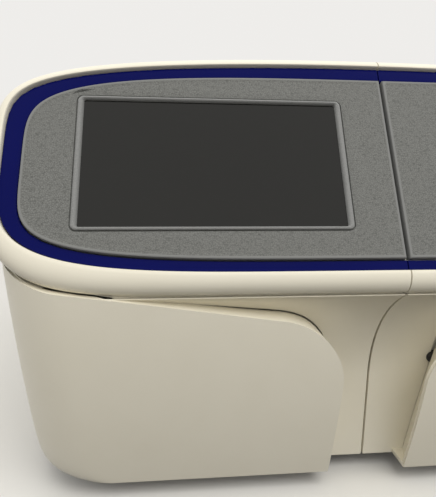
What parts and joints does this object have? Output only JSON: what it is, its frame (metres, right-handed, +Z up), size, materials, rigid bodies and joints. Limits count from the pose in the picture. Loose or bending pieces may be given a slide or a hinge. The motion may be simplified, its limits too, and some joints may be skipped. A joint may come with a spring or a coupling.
{
  "type": "benchtop sequencer",
  "caption": "Benchtop sequencer with a leaning visor, fixed touchscreen half, lifting loading visor with tray, wrap-round wing doors over a recessed neck, rear fans and ports.",
  "frame": {"origin": "on the table under the middle of the cabinet", "axes": "+X to the right seen from the front, +Y to the back, +Z up; the two halves meet in the plane X = 0"},
  "size_m": [0.5522, 0.6075, 0.3286],
  "materials": {
    "cream_shell": "satin cream paint on moulded plastic",
    "liner_white": "matt white moulding",
    "navy_band": "gloss navy inlay",
    "grey_fascia": "fine leather-grained grey",
    "screen_glass": "dark touch glass",
    "dark_plastic": "black moulding",
    "rubber_feet": "matt rubber",
    "sheet_steel": "zinc-plated sheet",
    "machined_steel": "ground steel",
    "aluminium": "anodised",
    "clear_plastic": "clear moulding",
    "flow_glass": "polished glass",
    "cap_blue": "ribbed cap",
    "cartridge_grey": "matt",
    "filter_paper": "pleated paper",
    "board_green": "circuit board"
  },
  "bodies": {
    "cabinet": {"base_pan": "sheet_steel", "feet": "rubber_feet", "cover": "cream_shell", "rear_panel": "sheet_steel", "deck": "sheet_steel", "bulkhead": "sheet_steel", "left_front": "cream_shell", "right_front": "cream_shell", "visor_frame": "dark_plastic", "left_rim": "cream_shell", "left_band": "navy_band", "left_fascia": "grey_fascia", "screen_frame": "grey_fascia", "touch_glass": "screen_glass", "lcd_module": "sheet_steel", "visor_pins": "machined_steel", "bay_liner": "liner_white", "tray_rails": "sheet_steel", "sipper_block": "aluminium", "door_pivots": "sheet_steel", "door_catches": "rubber_feet", "left_bay": "liner_white", "right_bay": "liner_white", "bottles": "clear_plastic", "bottle_caps": "cap_blue", "filter_frame": "liner_white", "filter_pleats": "filter_paper", "optics_block": "dark_plastic", "stage_rails": "machined_steel", "fluidics_block": "clear_plastic", "syringe_pumps": "machined_steel", "power_supply": "sheet_steel", "computer_board": "board_green", "heat_sink": "aluminium", "fan_frames": "dark_plastic", "fan_guards": "sheet_steel", "power_inlet": "dark_plastic", "switch_body": "dark_plastic", "data_ports": "sheet_steel", "cover_screws": "machined_steel"},
    "visor": {"right_rim": "cream_shell", "right_band": "navy_band", "right_fascia": "grey_fascia", "visor_pan": "liner_white", "visor_arms": "sheet_steel"},
    "left_wing": {"left_door": "cream_shell", "left_lugs": "sheet_steel"},
    "right_wing": {"right_door": "cream_shell", "right_lugs": "sheet_steel"},
    "tray": {"load_tray": "grey_fascia", "cartridge": "cartridge_grey", "cartridge_wells": "clear_plastic", "flow_cell": "flow_glass"},
    "objective": {"objective_stage": "aluminium"},
    "fan_a": {"left_rotor": "dark_plastic"},
    "fan_b": {"right_rotor": "dark_plastic"},
    "power_rocker": {"rocker": "dark_plastic"}
  },
  "joints": [
    {"name": "visor_lift", "type": "hinge", "parent": "cabinet", "child": "visor", "pos_m": [0.136, -0.17, 0.296], "axis": [-1, 0, 0], "range_deg": [0, 62]},
    {"name": "left_door_hinge", "type": "hinge", "parent": "cabinet", "child": "left_wing", "pos_m": [-0.244, -0.25, 0.08], "axis": [0, 0, -1], "range_deg": [0, 90]},
    {"name": "right_door_hinge", "type": "hinge", "parent": "cabinet", "child": "right_wing", "pos_m": [0.244, -0.25, 0.08], "axis": [0, 0, 1], "range_deg": [0, 90]},
    {"name": "tray_slide", "type": "slide", "parent": "cabinet", "child": "tray", "axis": [0, -1, 0], "range_m": [0, 0.105]},
    {"name": "objective_travel", "type": "slide", "parent": "cabinet", "child": "objective", "axis": [1, 0, 0], "range_m": [-0.03, 0.03]},
    {"name": "left_fan_spin", "type": "hinge", "parent": "cabinet", "child": "fan_a", "pos_m": [-0.11, 0.284, 0.112], "axis": [0, 1, 0], "continuous": true},
    {"name": "right_fan_spin", "type": "hinge", "parent": "cabinet", "child": "fan_b", "pos_m": [0.11, 0.284, 0.112], "axis": [0, 1, 0], "continuous": true},
    {"name": "power_rocker_tilt", "type": "hinge", "parent": "cabinet", "child": "power_rocker", "pos_m": [-0.181, 0.294, 0.062], "axis": [1, 0, 0], "range_deg": [0, 12]}
  ],
  "couplings": [
    {"joint": "tray_slide", "follows": "visor_lift", "m_per_rad": 0.097033}
  ]
}
